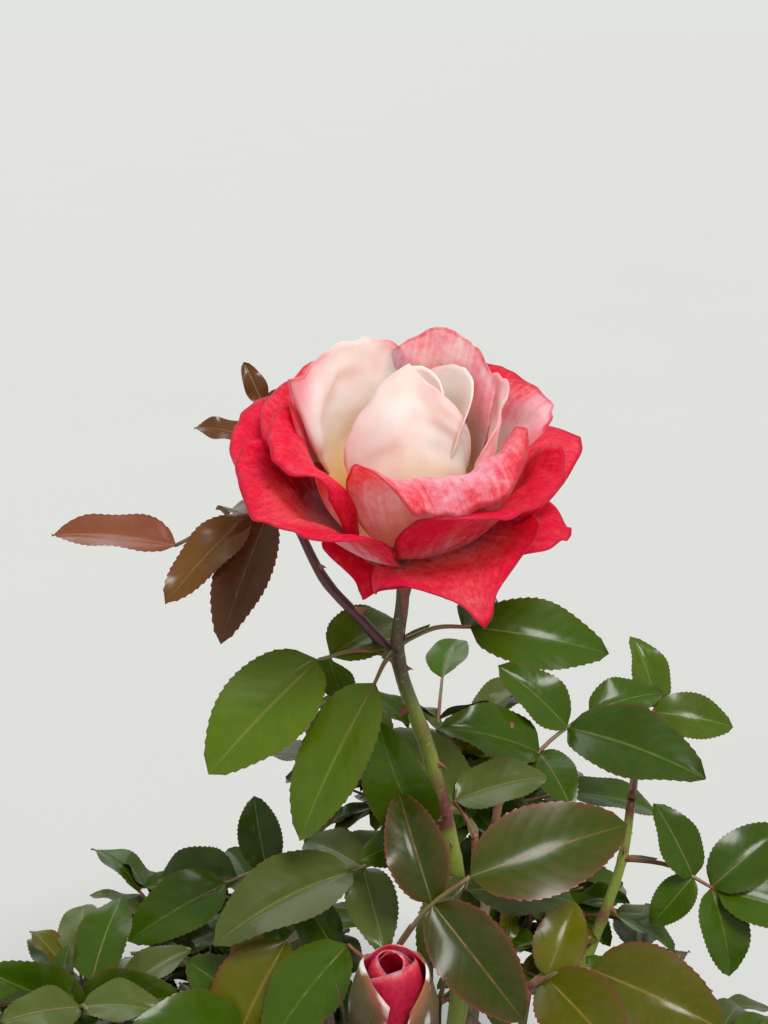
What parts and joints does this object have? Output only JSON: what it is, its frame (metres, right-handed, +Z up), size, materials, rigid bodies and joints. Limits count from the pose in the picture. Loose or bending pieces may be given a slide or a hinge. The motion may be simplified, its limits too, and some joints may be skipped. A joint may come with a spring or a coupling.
{
  "type": "rose bush",
  "caption": "Young garden rose bush with a large two-tone bloom over leafy canes, a short side shoot and an opening bud.",
  "frame": {"origin": "centre of the flat cut under the main stem, at ground level", "axes": "+Z up, +X to the right and -Y to the front, the side towards which the bloom nods"},
  "size_m": [0.3514, 0.2921, 0.3885],
  "materials": {
    "bark": "rough grey-brown bark",
    "brown_cane": "smooth brown-green young wood with prickles",
    "green_cane": "smooth green cane with prickles",
    "purple_cane": "smooth dark purple-brown shoot",
    "leaf": "glossy dark green leaves",
    "copper_leaf": "glossy copper-brown young leaves",
    "calyx": "matte green sepals and hip",
    "cream_petal": "velvety cream petals",
    "pink_petal": "velvety pink petals",
    "crimson_petal": "velvety crimson petals"
  },
  "bodies": {
    "root": {"main_stem": "bark", "flowering_cane": "green_cane", "side_shoot": "purple_cane", "cane_right": "green_cane", "cane_right_back": "brown_cane", "cane_front": "brown_cane", "cane_front_right": "brown_cane", "cane_front_left": "brown_cane", "cane_left": "brown_cane", "cane_left_back": "brown_cane", "cane_back": "brown_cane", "bud_stalk": "green_cane", "leaf_node_left": "leaf", "leaf_node_front": "leaf", "leaf_node_right": "leaf", "leaf_cane_low": "leaf", "foliage_middle": "leaf", "copper_shoot": "copper_leaf", "foliage_right_upper": "leaf", "foliage_right_tip": "leaf", "leaf_right_low": "leaf", "foliage_front": "leaf", "foliage_front_right": "leaf", "leaf_left_mid": "leaf", "foliage_left_back": "leaf", "foliage_left_low": "leaf", "foliage_front_left": "leaf", "foliage_back": "leaf", "foliage_back_left": "leaf", "foliage_low_right": "leaf", "foliage_low_left": "leaf", "foliage_low_front": "leaf", "foliage_low_back": "leaf", "heart_petal_1": "cream_petal", "heart_petal_2": "cream_petal", "heart_petal_3": "cream_petal", "heart_petal_4": "cream_petal", "inner_petal_front": "cream_petal", "inner_petal_left": "cream_petal", "inner_petal_right": "cream_petal", "inner_petal_back": "pink_petal", "cup_petal_front": "pink_petal", "cup_petal_right": "pink_petal", "cup_petal_back_right": "pink_petal", "cup_petal_back_left": "pink_petal", "cup_petal_left": "crimson_petal", "outer_petal_right": "crimson_petal", "outer_petal_back_right": "crimson_petal", "outer_petal_back_left": "crimson_petal", "outer_petal_left": "crimson_petal", "guard_petal_left": "crimson_petal", "guard_petal_front_right": "crimson_petal", "guard_petal_front_left": "crimson_petal", "guard_petal_right": "crimson_petal", "guard_petal_back_right": "crimson_petal", "guard_petal_back_left": "crimson_petal", "calyx": "calyx", "bud_petals": "crimson_petal", "bud_calyx": "calyx"}
  },
  "joints": []
}
